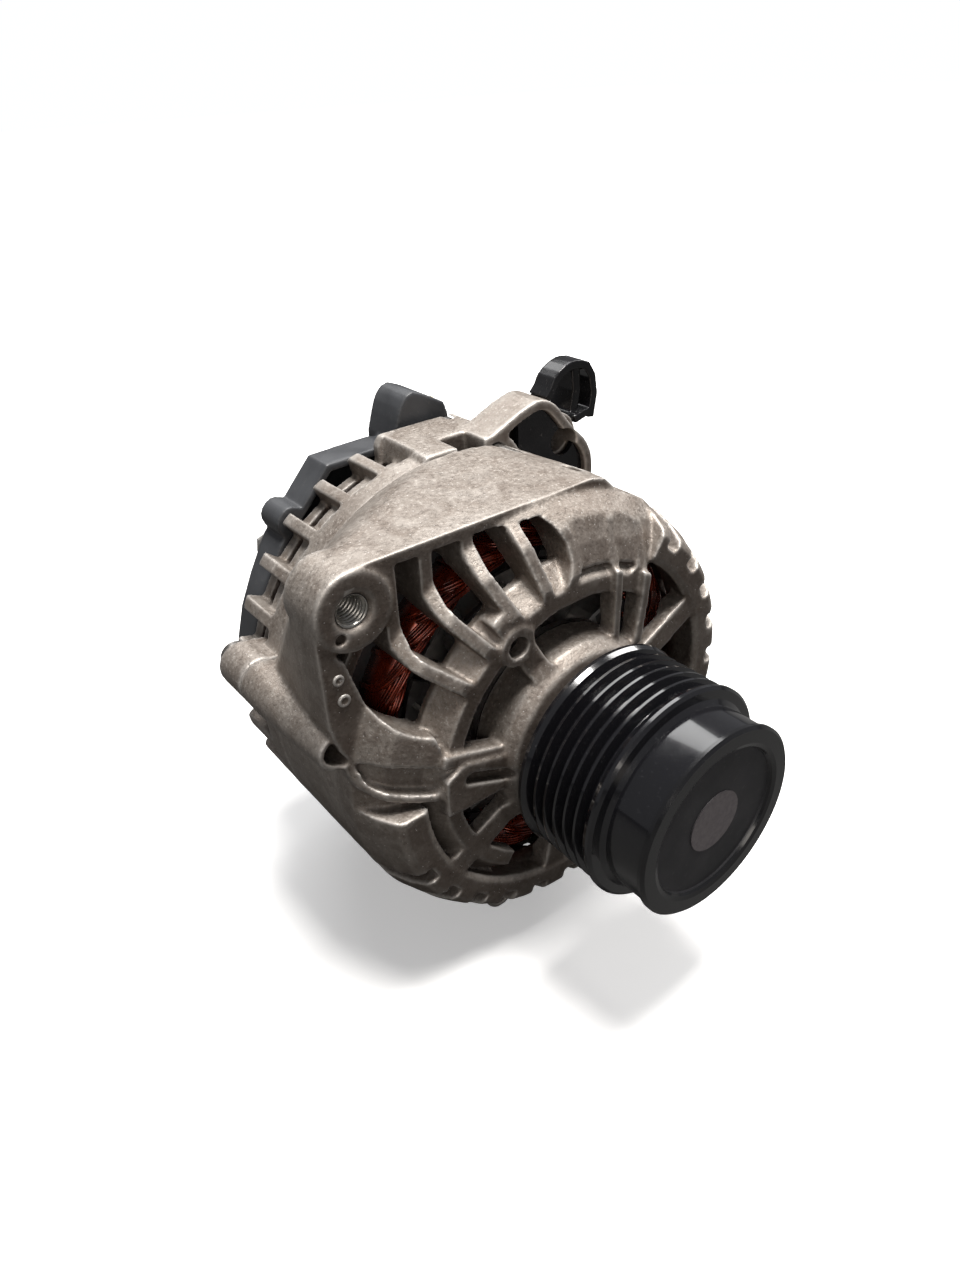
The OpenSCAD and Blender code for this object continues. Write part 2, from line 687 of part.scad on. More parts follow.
module positive_heat_sink() {
    color([0.7, 0.7, 0.7]) difference() {
        horseshoe(25, 39, 86, 88.5, -5, 130);
        for (a = positive_a) at_angle(a) translate([32, 0, 0]) pin_y(0, 0, diode_r, 84, 90, 32);
    }
}
module negative_heat_sink() {
    color([0.62, 0.62, 0.62]) difference() {
        horseshoe(40, 49.6, 80.5, 83, -5, 130);
        for (a = negative_a) at_angle(a) translate([44.8, 0, 0]) pin_y(0, 0, 4, 78, 86, 32);
    }
}
module rectifier_insulator() {
    color([0.1, 0.1, 0.1]) {
        horseshoe(30, 49.6, 83.05, 85, -5, 12);
        horseshoe(30, 49.6, 83.05, 85, 112, 130);
        horseshoe(39.2, 41.5, 83.05, 86.5, -5, 130);
    }
}
module positive_diodes() {
    color([0.5, 0.5, 0.5]) for (a = positive_a) at_angle(a) {
        translate([32, 0, 0]) pin_y(0, 0, diode_r - eps, 85.2, 89.2, 32);
        translate([32, 0, 0]) pin_y(0, 0, 0.8, 89.1, 94, 16);
    }
}
module negative_diodes() {
    color([0.5, 0.5, 0.5]) for (a = negative_a) at_angle(a) {
        translate([44.8, 0, 0]) pin_y(0, 0, 4 - eps, 80, 82.9, 32);
        translate([44.8, 0, 0]) pin_y(0, 0, 0.7, 79.4, 80.1, 16);
    }
}

module voltage_regulator() {
    color([0.08, 0.08, 0.09]) difference() {
        slab(86, 96) polygon([[-44, -6], [-24, -6], [-24, -32], [-34, -32], [-42, -22]]);
        for (k = [0:3]) translate([-45, 93, -11 - 5 * k]) cube([18, 4, 2.4]);
    }
}

module brush_holder() {
    color([0.1, 0.1, 0.1]) difference() {
        union() {
            translate([-8, 86.4, holder_z - 1.6]) cube([16, 11.8, 22]);
            translate([-12.9, 86.4, holder_z - 1.6]) cube([25.8, 11.8, 6]);
        }
        for (y = ring_y) translate([-brush_w / 2 - 0.05, y + 0.05, holder_z])
            cube([brush_w + 0.1, brush_d + 0.1, 24]);
    }
}

module brush(y) {
    difference() {
        translate([-brush_w / 2, y + 0.1, -ring_r - 0.05 - brush_len])
            cube([brush_w, brush_d, brush_len + 3]);
        ring(0, ring_r + 0.05, y - 3, y + 8);
    }
}
module brush_inner() { color([0.2, 0.19, 0.19]) brush(ring_y[0]); }
module brush_outer() { color([0.2, 0.19, 0.19]) brush(ring_y[1]); }

// A compression spring from the holder's floor to the brush, as a stack of turns
module brush_spring(y) {
    bottom = holder_z + 0.1;
    top = -ring_r - 0.05 - brush_len - 0.1;
    for (k = [0:7]) translate([0, y + 2.3, bottom + 0.35 + (top - bottom - 0.7) * k / 7])
        rotate_extrude($fn = 32) translate([1.5, 0]) circle(r = 0.35, $fn = 16);
    translate([1.2, y + 2.1, bottom]) cube([0.5, 0.4, top - bottom]);
}
module brush_spring_inner() { color("silver") brush_spring(ring_y[0]); }
module brush_spring_outer() { color("silver") brush_spring(ring_y[1]); }

module connector_socket() {
    color([0.07, 0.07, 0.07]) difference() {
        union() {
            translate([-12, 87.5, -72]) cube([24, 10.5, 28]);
            translate([-13.2, 87, -50]) cube([26.4, 11.5, 3]);
        }
        translate([-10, 89.3, -73]) cube([20, 7, 20]);
    }
}
module connector_pins() {
    color("silver") for (x = [-6, -2, 2, 6]) translate([x - 0.4, 92, -68]) cube([0.8, 1.6, 14.98]);
}

// A turned shape along +X about the main terminal's axis
module terminal_turned(r, x0, x1, fn = 48) {
    translate([x0, stud_y, stud_z]) rotate([0, 90, 0]) cylinder(r = r, h = x1 - x0, $fn = fn);
}

module terminal_insulator() {
    color([0.12, 0.12, 0.12]) difference() {
        terminal_turned(5.2, 4.05, 6.5);
        terminal_turned(3.62, 4, 7);
    }
}
module terminal_stud() {
    color([0.7, 0.6, 0.35]) {
        terminal_turned(3.6, 4.1, 12.5);
        terminal_turned(3.9, 12, 20.5);
    }
}
module terminal_nut() {
    color("silver") difference() {
        terminal_turned(5.5, 6.55, 11.5, 6);
        terminal_turned(3.62, 6, 13);
    }
}

// The black plastic clip that holds the harness, pushed on the arm's outer edge
module harness_clip() {
    color([0.05, 0.05, 0.05]) difference() {
        union() {
            slab(60, 68) ribbon(concat([[43.5, 68.6], [45.6, 71]],
                bezier([47, 73.6], [53, 79], [60, 75.6], 6), [[62.4, 72], [63.4, 66], [62, 58.6]]), 2.6);
            slab(62, 72) ribbon([[57, 75], [57.6, 68], [56, 60]], 3.4);
            slab(60, 70) ribbon([[55, 59.4], [59, 60.4], [62.6, 60.8]], 2.6);
            slab(61, 69) ribbon([[43.2, 67.8], [49.3, 60.9], [55.4, 60.6]], 1.8);
        }
        slab(50, 80) offset(delta = 0.05) arm_outline();
        pin_y(arm_bore[0], arm_bore[1], 8.25, 50, 80);
    }
}

// The black plastic liner that fills the arm's hollow in front of the lug
module arm_insert() {
    color([0.04, 0.04, 0.04]) difference() {
        slab(55.2, 57) offset(delta = -3.3) arm_outline();
        ring(0, body_r + 0.1, 50, 60);
        translate([0, 50, 50]) cube([27.3, 10, 16.1]);
        pin_y(arm_bore[0], arm_bore[1], lug_bore_r + 0.4, 50, 60);
    }
}

front_bracket();
rear_bracket();
stator_core();
stator_windings();
through_bolts();
front_bearing_outer_race();
front_bearing_inner_race();
front_bearing_balls();
front_bearing_cage();
front_bearing_seal();
bearing_retainer();
retainer_screws();
shaft_spacer();
rear_bearing_outer_race();
rear_bearing_inner_race();
rear_bearing_balls();
rear_bearing_cage();
rear_bearing_sleeve();
rotor_shaft();
front_claw_pole();
rear_claw_pole();
field_coil();
coil_bobbin();
front_fan();
rear_fan();
slip_ring_inner();
slip_ring_outer();
slip_ring_insulator();
pulley_hub();
clutch_cage();
clutch_rollers();
pulley_seal();
pulley_rim();
pulley_cap();
rear_cover();
cover_nuts();
cover_studs();
positive_heat_sink();
negative_heat_sink();
rectifier_insulator();
positive_diodes();
negative_diodes();
voltage_regulator();
brush_holder();
brush_inner();
brush_outer();
brush_spring_inner();
brush_spring_outer();
connector_socket();
connector_pins();
terminal_stud();
terminal_nut();
terminal_insulator();
harness_clip();
arm_insert();
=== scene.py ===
# Looks of the car alternator: materials, rounded castings, thread, wound wire, springs, light and camera.
import json
import math
import random

import bmesh
import bpy
from mathutils import Matrix, Vector


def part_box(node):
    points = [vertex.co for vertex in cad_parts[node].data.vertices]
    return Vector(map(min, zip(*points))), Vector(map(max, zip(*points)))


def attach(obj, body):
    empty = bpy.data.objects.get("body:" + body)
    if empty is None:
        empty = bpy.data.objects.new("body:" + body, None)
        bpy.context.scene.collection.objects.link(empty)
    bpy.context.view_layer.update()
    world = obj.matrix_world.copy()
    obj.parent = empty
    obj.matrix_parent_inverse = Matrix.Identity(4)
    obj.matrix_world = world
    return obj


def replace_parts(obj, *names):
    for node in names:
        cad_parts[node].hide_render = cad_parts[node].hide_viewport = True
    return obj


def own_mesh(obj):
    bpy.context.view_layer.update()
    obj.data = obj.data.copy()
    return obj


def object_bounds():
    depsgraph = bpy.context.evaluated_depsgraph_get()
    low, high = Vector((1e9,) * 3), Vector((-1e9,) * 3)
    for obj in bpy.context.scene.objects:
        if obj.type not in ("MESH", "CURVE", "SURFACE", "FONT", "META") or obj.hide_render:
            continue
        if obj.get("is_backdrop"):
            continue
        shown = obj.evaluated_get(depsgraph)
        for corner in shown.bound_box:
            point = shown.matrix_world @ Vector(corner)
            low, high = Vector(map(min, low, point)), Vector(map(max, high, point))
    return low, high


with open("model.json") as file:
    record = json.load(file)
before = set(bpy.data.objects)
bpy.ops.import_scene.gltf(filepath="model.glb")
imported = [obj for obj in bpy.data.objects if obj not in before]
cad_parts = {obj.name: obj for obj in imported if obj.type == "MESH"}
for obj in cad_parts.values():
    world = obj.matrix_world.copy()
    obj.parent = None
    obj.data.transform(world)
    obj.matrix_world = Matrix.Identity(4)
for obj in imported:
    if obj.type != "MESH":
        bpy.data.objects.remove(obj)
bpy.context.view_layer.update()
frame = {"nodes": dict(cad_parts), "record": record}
nodes = frame["nodes"]
record = frame["record"]
scene = bpy.context.scene
MM = 0.001
MM_PER_M = 1000


# ---- node helpers ----

class Graph:
    """A small wrapper that builds one material's nodes."""

    def __init__(self, name):
        self.mat = bpy.data.materials.new(name)
        self.mat.use_nodes = True
        self.tree = self.mat.node_tree
        self.tree.nodes.clear()
        self.out = self.add("ShaderNodeOutputMaterial")
        self.bsdf = self.add("ShaderNodeBsdfPrincipled")
        self.link(self.bsdf.outputs[0], self.out.inputs[0])
        self.coord = self.add("ShaderNodeTexCoord").outputs["Object"]

    def add(self, kind, **inputs):
        node = self.tree.nodes.new(kind)
        for key, value in inputs.items():
            self.put(node.inputs[key.replace("_", " ")], value)
        return node

    def put(self, socket, value):
        if isinstance(value, bpy.types.NodeSocket):
            self.link(value, socket)
        elif isinstance(value, (tuple, list)) and len(value) == 3 and socket.type == "RGBA":
            socket.default_value = (*value, 1)
        else:
            socket.default_value = value

    def link(self, a, b):
        self.tree.links.new(a, b)

    def noise(self, size_mm, detail=3, rough=0.55, coord=None, distortion=0.0):
        """Cloudy noise, from 0 to 1, with features of about this size."""
        n = self.add("ShaderNodeTexNoise", Scale=MM_PER_M / size_mm, Detail=detail, Roughness=rough,
                     Distortion=distortion)
        self.link(coord or self.coord, n.inputs["Vector"])
        return n.outputs["Fac"]

    def cells(self, size_mm):
        """Distance from the middle of the nearest grain of about this size."""
        n = self.add("ShaderNodeTexVoronoi", Scale=MM_PER_M / size_mm, Randomness=1.0)
        self.link(self.coord, n.inputs["Vector"])
        return n.outputs["Distance"]

    def mix(self, share, a, b):
        """Colour a, turning into colour b as share goes from 0 to 1."""
        n = self.add("ShaderNodeMix")
        n.data_type = "RGBA"
        for socket, value in zip((n.inputs[0], n.inputs[6], n.inputs[7]), (share, a, b)):
            self.put(socket, value)
        return n.outputs[2]

    def times(self, a, b):
        n = self.add("ShaderNodeMath")
        n.operation = "MULTIPLY"
        self.put(n.inputs[0], a)
        self.put(n.inputs[1], b)
        return n.outputs[0]

    def map(self, value, from_low, from_high, to_low=0, to_high=1):
        """The value, moved from one range to another and held inside it."""
        n = self.add("ShaderNodeMapRange")
        for socket, v in zip(n.inputs, (value, from_low, from_high, to_low, to_high)):
            self.put(socket, v)
        return n.outputs[0]

    def length(self, vector):
        n = self.add("ShaderNodeVectorMath")
        n.operation = "LENGTH"
        self.link(vector, n.inputs[0])
        return n.outputs["Value"]

    def stretched(self, scale):
        """The object's coordinates scaled along each axis, for marks that run one way."""
        n = self.add("ShaderNodeMapping")
        n.inputs["Scale"].default_value = scale
        self.link(self.coord, n.inputs["Vector"])
        return n.outputs[0]

    def bump(self, *layers):
        """layers: (height, strength, distance in mm) from coarse to fine."""
        normal = None
        for height, strength, dist in layers:
            n = self.add("ShaderNodeBump", Strength=strength, Distance=dist * MM)
            self.link(height, n.inputs["Height"])
            if normal is not None:
                self.link(normal, n.inputs["Normal"])
            normal = n.outputs[0]
        self.link(normal, self.bsdf.inputs["Normal"])

    def set(self, **values):
        """Sets inputs of the surface; a name's spaces are written as underscores."""
        for key, value in values.items():
            self.put(self.bsdf.inputs[key.replace("_", " ")], value)

    def edges(self, low, high):
        """1 on convex edges of a fine mesh."""
        geo = self.add("ShaderNodeNewGeometry")
        return self.map(geo.outputs["Pointiness"], low, high)

    def facing(self, axis, low, high):
        """0 where the normal's part along an axis is low, 1 where it is high."""
        axes = self.add("ShaderNodeSeparateXYZ")
        self.link(self.add("ShaderNodeTexCoord").outputs["Normal"], axes.inputs[0])
        return self.map(axes.outputs[axis], low, high)

    def hollow_shade(self, reach_mm, deep, shallow):
        """Ambient-occlusion mask for painted shade: 1 in corners and hollows of about this size, 0 where the
        surface is open.
        """
        ao = self.add("ShaderNodeAmbientOcclusion", Distance=reach_mm * MM)
        ao.samples = 6
        return self.map(ao.outputs["AO"], deep, shallow, 1, 0)


# ---- materials: one for each slot in the record ----

X, Y, Z = range(3)

# Colours as linear RGB: first those of the bare castings
CAST_DULL, CAST_PALE = (0.285, 0.247, 0.215), (0.43, 0.39, 0.352)
CAST_STAIN = (0.155, 0.118, 0.092)
CAST_GLINT = (0.74, 0.70, 0.65)
CAST_SOOT = (0.07, 0.05, 0.038)
# The next two are painted shade: darker colours for faces turned to the front and for undersides
CAST_FRONT_SHADE = (0.072, 0.050, 0.038)
CAST_UNDER_SHADE = (0.072, 0.050, 0.037)
CAST_SPARKLE = (0.88, 0.86, 0.83)
# Painted shade with grime, for corners and hollows of the castings
CAST_GRIME_AND_SHADE = (0.04, 0.029, 0.023)
# Painted highlight for the castings' convex edges
CAST_EDGE_HIGHLIGHT = (0.72, 0.70, 0.67)

GLOSS_BLACK = (0.006, 0.006, 0.0075)
# Painted shade for the gaps between enamelled wires
ENAMEL_GAP_SHADE = (0.012, 0.004, 0.003)
# Painted shade for corners and hollows of steel parts
STEEL_HOLLOW_SHADE = (0.03, 0.026, 0.022)
PLASTIC_DUST = (0.2, 0.19, 0.18)
RUST = (0.16, 0.09, 0.055)

# Radii on the pulley's cap: the grey spot and the matt disc round it
SPOT_R, DISC_R = 8.4 * MM, 20.2 * MM


def cast_aluminium():
    """Die-cast skin: mottled grey, painted shade on front faces and undersides, painted shade with grime in
    corners, painted highlights on convex edges.
    """
    g = Graph("cast_aluminium")
    broad = g.noise(38, 4, 0.6)
    blotch = g.noise(9, 5, 0.65, distortion=0.6)
    grain = g.noise(1.1, 4, 0.7)
    speck = g.cells(1.5)
    tone = g.mix(g.map(broad, 0.35, 0.65), CAST_DULL, CAST_PALE)
    tone = g.mix(g.map(blotch, 0.42, 0.66, 0, 0.6), tone, CAST_STAIN)
    tone = g.mix(g.map(grain, 0.55, 0.76, 0, 0.55), tone, CAST_GLINT)
    tone = g.mix(g.map(grain, 0.46, 0.3, 0, 0.5), tone, CAST_SOOT)
    # Painted shade: faces turned to the front are darkened
    tone = g.mix(g.times(g.facing(Y, -0.8, -0.99), 0.6), tone, CAST_FRONT_SHADE)
    # Painted shade: undersides are darkened
    tone = g.mix(g.times(g.facing(Z, 0.05, -0.6), 0.7), tone, CAST_UNDER_SHADE)
    tone = g.mix(g.map(speck, 0.11, 0.05, 0, 0.8), tone, CAST_SPARKLE)
    # Painted shade with some grime: corners and hollows darkened by ambient occlusion, patchy with noise
    grime_and_shade = g.times(g.hollow_shade(9, 0.25, 0.85), g.map(g.noise(5, 4), 0.3, 0.6, 0.6, 1.0))
    tone = g.mix(g.times(grime_and_shade, 0.88), tone, CAST_GRIME_AND_SHADE)
    # Painted highlight: convex edges are lightened
    tone = g.mix(g.times(g.edges(0.505, 0.56), 0.6), tone, CAST_EDGE_HIGHLIGHT)
    g.set(Base_Color=tone, Metallic=g.map(grime_and_shade, 0, 1, 0.6, 0.1),
          Roughness=g.map(grain, 0.3, 0.7, 0.36, 0.64))
    pits = g.map(speck, 0.0, 0.35)
    g.bump((blotch, 0.35, 0.8), (grain, 0.4, 0.3), (pits, 0.2, 0.2))
    return g.mat


def black_coat():
    """The pulley's black lacquer with a little dust."""
    g = Graph("black_coat")
    wipe = g.noise(14, 3)
    dust = g.noise(0.9, 3, 0.7)
    tone = g.mix(g.map(dust, 0.62, 0.78, 0, 0.5), GLOSS_BLACK, (0.06, 0.06, 0.065))
    g.set(Base_Color=tone, Metallic=0.0, Roughness=g.map(wipe, 0.35, 0.7, 0.1, 0.24), IOR=1.55,
          Coat_Weight=0.8, Coat_Roughness=0.06)
    g.bump((g.noise(3.5, 2), 0.05, 0.3), (dust, 0.04, 0.1))
    return g.mat


def cap_plastic():
    """A glossy black rim, a matt dark disc and a mauve-grey spot in its middle."""
    g = Graph("cap_plastic")
    xyz = g.add("ShaderNodeSeparateXYZ")
    g.link(g.coord, xyz.inputs[0])
    flat = g.add("ShaderNodeCombineXYZ")
    g.link(xyz.outputs[X], flat.inputs[0])
    g.link(xyz.outputs[Z], flat.inputs[1])
    from_axis = g.length(flat.outputs[0])
    spot = g.map(from_axis, SPOT_R + 0.15 * MM, SPOT_R)
    disc = g.map(from_axis, DISC_R + 0.4 * MM, DISC_R)
    dust = g.noise(1.3, 4, 0.7)
    smear = g.noise(12, 3)
    face = g.mix(g.map(smear, 0.35, 0.7), (0.020, 0.020, 0.023), (0.038, 0.037, 0.041))
    face = g.mix(g.map(dust, 0.6, 0.8, 0, 0.6), face, (0.12, 0.115, 0.115))
    grey = g.mix(g.map(dust, 0.35, 0.7), (0.135, 0.118, 0.126), (0.185, 0.168, 0.172))
    rim = g.mix(g.map(dust, 0.62, 0.8, 0, 0.4), (0.006, 0.006, 0.007), (0.07, 0.07, 0.07))
    tone = g.mix(disc, rim, g.mix(spot, face, grey))
    g.set(Base_Color=tone, Roughness=g.map(disc, 0, 1, 0.2, 0.5),
          Coat_Weight=g.map(disc, 0, 1, 0.6, 0.05), Coat_Roughness=0.12)
    g.bump((smear, 0.05, 0.4), (dust, 0.12, 0.12))
    return g.mat


def enamel(name, dark, bright):
    """Glossy wire enamel over copper."""
    g = Graph(name)
    tone = g.mix(g.map(g.noise(4, 2), 0.35, 0.65), dark, bright)
    # Painted shade: gaps between wires are darkened by ambient occlusion
    tone = g.mix(g.times(g.hollow_shade(3, 0.2, 0.9), 0.75), tone, ENAMEL_GAP_SHADE)
    g.set(Base_Color=tone, Metallic=0.65, Roughness=g.map(g.noise(1.5, 3), 0.3, 0.7, 0.16, 0.34),
          Coat_Weight=0.9, Coat_Roughness=0.08, Coat_Tint=(1.0, 0.62, 0.45))
    g.bump((g.noise(0.7, 3), 0.12, 0.12))
    return g.mat


def plastic(name, base, rough, dusty):
    """Moulded plastic with a fine spark-eroded grain, dust and scuffs."""
    g = Graph(name)
    fine = g.noise(0.6, 3, 0.6)
    wide = g.noise(16, 3)
    lighter = tuple(min(1, c * 1.45 + 0.006) for c in base)
    tone = g.mix(g.map(wide, 0.35, 0.65), base, lighter)
    tone = g.mix(g.map(g.noise(1.6, 4, 0.75), 0.6, 0.8, 0, dusty), tone, PLASTIC_DUST)
    scuff = g.noise(2.2, 2, coord=g.stretched((1, 7, 1)))
    tone = g.mix(g.map(scuff, 0.66, 0.76, 0, 0.25), tone, PLASTIC_DUST)
    g.set(Base_Color=tone, Roughness=g.map(wide, 0.3, 0.7, rough - 0.07, rough + 0.1), IOR=1.48)
    g.bump((wide, 0.06, 0.6), (fine, 0.16, 0.12))
    return g.mat


def steel(name, base, rough, turned=True, stain=0.25):
    """Machined steel: fine turning marks around the shaft axis, or brushed where turned is off."""
    g = Graph(name)
    marks = g.noise(0.5, 2, coord=g.stretched((0.15, 6, 0.15) if turned else (0.3, 0.3, 5)))
    blotch = g.noise(7, 4)
    dark = tuple(c * 0.5 for c in base)
    tone = g.mix(g.map(blotch, 0.5, 0.75, 0, stain), base, dark)
    # Painted shade: corners and hollows are darkened by ambient occlusion
    tone = g.mix(g.times(g.hollow_shade(3, 0.3, 0.9), 0.5), tone, STEEL_HOLLOW_SHADE)
    g.set(Base_Color=tone, Metallic=0.95,
          Roughness=g.map(marks, 0.3, 0.7, rough - 0.06, rough + 0.1))
    g.bump((marks, 0.12, 0.05), (blotch, 0.05, 0.2))
    return g.mat


def iron(name, base, lamination=False):
    """Bare iron with a bloom of rust; a lamination shows its stacked sheets."""
    g = Graph(name)
    grain = g.noise(0.9, 4, 0.7)
    rust = g.noise(6, 4)
    tone = g.mix(g.map(rust, 0.5, 0.72, 0, 0.5), base, RUST)
    tone = g.mix(g.map(grain, 0.55, 0.75, 0, 0.5), tone, tuple(c * 1.8 for c in base))
    g.set(Base_Color=tone, Metallic=0.7, Roughness=g.map(grain, 0.3, 0.7, 0.42, 0.62))
    if lamination:
        wave = g.add("ShaderNodeTexWave", Scale=2000, Distortion=0.3)
        wave.bands_direction = "Y"
        g.link(g.coord, wave.inputs["Vector"])
        g.bump((wave.outputs["Fac"], 0.5, 0.15), (grain, 0.2, 0.1))
    else:
        g.bump((rust, 0.2, 0.4), (grain, 0.3, 0.15))
    return g.mat


def rubber(name):
    """Matt black rubber with a little dust."""
    g = Graph(name)
    n = g.noise(1.2, 4)
    g.set(Base_Color=g.mix(g.map(n, 0.4, 0.75, 0, 0.6), (0.018, 0.018, 0.018), (0.07, 0.068, 0.065)),
          Roughness=g.map(n, 0.3, 0.7, 0.6, 0.8))
    g.bump((n, 0.2, 0.15))
    return g.mat


def carbon(name):
    """Pressed carbon and copper grains."""
    g = Graph(name)
    n = g.cells(0.35)
    g.set(Base_Color=g.mix(g.map(n, 0, 0.6), (0.12, 0.075, 0.05), (0.03, 0.03, 0.031)),
          Metallic=0.3, Roughness=0.6)
    g.bump((n, 0.2, 0.08))
    return g.mat


MATERIALS = {
    "cast_aluminium": cast_aluminium(),
    "black_coat": black_coat(),
    "cap_plastic": cap_plastic(),
    "red_enamel": enamel("red_enamel", (0.12, 0.017, 0.009), (0.34, 0.062, 0.026)),
    "grey_plastic": plastic("grey_plastic", (0.040, 0.042, 0.046), 0.4, dusty=0.25),
    "clip_plastic": plastic("clip_plastic", (0.006, 0.006, 0.007), 0.18, dusty=0.06),
    "black_plastic": plastic("black_plastic", (0.011, 0.011, 0.012), 0.38, dusty=0.2),
    "cage_plastic": plastic("cage_plastic", (0.42, 0.3, 0.16), 0.45, dusty=0.1),
    "bobbin_plastic": plastic("bobbin_plastic", (0.62, 0.56, 0.42), 0.45, dusty=0.15),
    "bolt_steel": steel("bolt_steel", (0.34, 0.32, 0.3), 0.34, stain=0.5),
    "zinc_steel": steel("zinc_steel", (0.62, 0.6, 0.56), 0.28, stain=0.3),
    "bearing_steel": steel("bearing_steel", (0.62, 0.61, 0.6), 0.2),
    "plate_steel": steel("plate_steel", (0.4, 0.39, 0.38), 0.36, turned=False, stain=0.5),
    "sink_aluminium": steel("sink_aluminium", (0.68, 0.68, 0.68), 0.34, turned=False),
    "diode_metal": steel("diode_metal", (0.5, 0.49, 0.48), 0.3),
    "spring_steel": steel("spring_steel", (0.55, 0.54, 0.53), 0.25),
    "tin_pin": steel("tin_pin", (0.72, 0.71, 0.69), 0.24, turned=False),
    "terminal_brass": steel("terminal_brass", (0.66, 0.5, 0.26), 0.3),
    "slip_copper": steel("slip_copper", (0.78, 0.42, 0.24), 0.22),
    "lamination_steel": iron("lamination_steel", (0.11, 0.11, 0.115), lamination=True),
    "pole_iron": iron("pole_iron", (0.13, 0.128, 0.125)),
    "seal_rubber": rubber("seal_rubber"),
    "carbon": carbon("carbon"),
}
slot_of = {part["node"]: part["material_slot"] for part in record["subparts"]}
for name, obj in nodes.items():
    if not obj.material_slots:
        obj.data.materials.append(MATERIALS[slot_of[name]])
    for slot in obj.material_slots:
        slot.link = "OBJECT"
        slot.material = MATERIALS[slot_of[name]]


# ---- mesh helpers ----

def place(name, data):
    """An object with this data, linked into the scene."""
    obj = bpy.data.objects.new(name, data)
    scene.collection.objects.link(obj)
    return obj


def mesh_object(name, bm):
    """An object with the bmesh as its mesh; the bmesh is used up."""
    mesh = bpy.data.meshes.new(name)
    bm.to_mesh(mesh)
    bm.free()
    return place(name, mesh)


def new_piece(name, bm, slot):
    """A visible piece that stands on the housing."""
    bmesh.ops.recalc_face_normals(bm, faces=bm.faces)
    obj = mesh_object(name, bm)
    for face in obj.data.polygons:
        face.use_smooth = True
    obj.data.materials.append(MATERIALS[slot])
    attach(obj, "housing")
    return obj


def turns(count):
    """Angles of count equal steps round a circle."""
    return [2 * math.pi * k / count for k in range(count)]


def circle(bm, cx, cz, radius, y, count):
    """A ring of points about an axis along Y, in millimetres."""
    return [bm.verts.new(Vector((cx + radius * math.cos(a), y, cz + radius * math.sin(a))) * MM)
            for a in turns(count)]


def bridge(bm, ring, following):
    """Faces between two closed rings with the same number of points."""
    count = len(ring)
    for i in range(count):
        k = (i + 1) % count
        bm.faces.new((ring[i], ring[k], following[k], following[i]))


def tube(bm, points, radius, sides=6):
    """A round bar along points, with closed ends."""
    rings = []
    up = Vector((0, 0, 1))
    for i, p in enumerate(points):
        a = points[max(i - 1, 0)]
        b = points[min(i + 1, len(points) - 1)]
        t = (b - a).normalized()
        if i == 0:
            u = t.cross(up)
            if u.length < 0.1:
                u = t.cross(Vector((1, 0, 0)))
            u.normalize()
        else:
            u = (u - t * u.dot(t)).normalized()
        v = t.cross(u)
        rings.append([bm.verts.new(p + (u * math.cos(w) + v * math.sin(w)) * radius)
                      for w in turns(sides)])
    for ring, following in zip(rings, rings[1:]):
        bridge(bm, ring, following)
    bm.faces.new(rings[0][::-1])
    bm.faces.new(rings[-1])


def polar(r, angle_deg, y):
    """A point about the shaft axis, from millimetres and degrees."""
    a = math.radians(angle_deg)
    return Vector((r * math.cos(a), y, r * math.sin(a))) * MM


# ---- castings: rounded edges and cast skin ----

# The texture value that leaves the skin in place. Most values lie below it, so castings lose a little and
# stay inside their CAD size.
SKIN_LEVEL = 0.85
SKIN_GRAIN = 0.006


def soften(obj, voxel_mm, rounds, keep=1.0, skin_mm=0.0):
    """Rounds a piece's edges; skin_mm adds a cast skin, and keep thins the mesh to that share."""
    m = obj.modifiers.new("remesh", "REMESH")
    m.mode = "VOXEL"
    m.voxel_size = voxel_mm * MM
    m.use_smooth_shade = True
    m = obj.modifiers.new("smooth", "SMOOTH")
    m.factor = 0.5
    m.iterations = rounds
    if skin_mm:
        tex = bpy.data.textures.new(obj.name + "_skin", "CLOUDS")
        tex.noise_scale = SKIN_GRAIN
        tex.noise_depth = 3
        m = obj.modifiers.new("skin", "DISPLACE")
        m.texture = tex
        m.texture_coords = "LOCAL"
        m.strength = skin_mm * MM
        m.mid_level = SKIN_LEVEL
    if keep < 1:
        m = obj.modifiers.new("thin", "DECIMATE")
        m.ratio = keep


def cutter_along_y(name, radius_mm, centre_mm, length_mm):
    """A hidden cylinder for cutting a hole."""
    bm = bmesh.new()
    bmesh.ops.create_cone(bm, cap_ends=True, segments=64, radius1=radius_mm * MM,
                          radius2=radius_mm * MM, depth=length_mm * MM,
                          matrix=Matrix.Rotation(math.pi / 2, 4, "X"))
    bmesh.ops.translate(bm, verts=bm.verts, vec=Vector(centre_mm) * MM)
    obj = mesh_object(name, bm)
    obj.hide_render = True
    obj.hide_viewport = True
    obj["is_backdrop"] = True
    return obj


boss = next(Vector(m["pos_m"]) * MM_PER_M for m in record["mounts"] if m["name"] == "boss_thread")
THREAD_PITCH, THREAD_MAJOR, THREAD_MINOR = 1.25, 4.05, 3.4
THREAD_START, THREAD_END = 0.1, 13.4
CASTING_VOXEL = 0.6
CASTING_KEEP = 0.4
CASTING_SKIN = 0.22

clearance = nodes["front_bracket"].modifiers.new("thread_clearance", "BOOLEAN")
clearance.operation = "DIFFERENCE"
clearance.solver = "EXACT"
clearance.object = cutter_along_y("thread_clearance", THREAD_MAJOR + 0.1,
                                  (boss.x, boss.y + 7, boss.z), 30)
soften(nodes["front_bracket"], CASTING_VOXEL, 6, CASTING_KEEP, CASTING_SKIN)
soften(nodes["rear_bracket"], CASTING_VOXEL, 5, CASTING_KEEP, CASTING_SKIN)
soften(nodes["rear_cover"], CASTING_VOXEL, 3, CASTING_KEEP)
soften(nodes["harness_clip"], 0.35, 3)


# ---- M8 thread in the boss ----

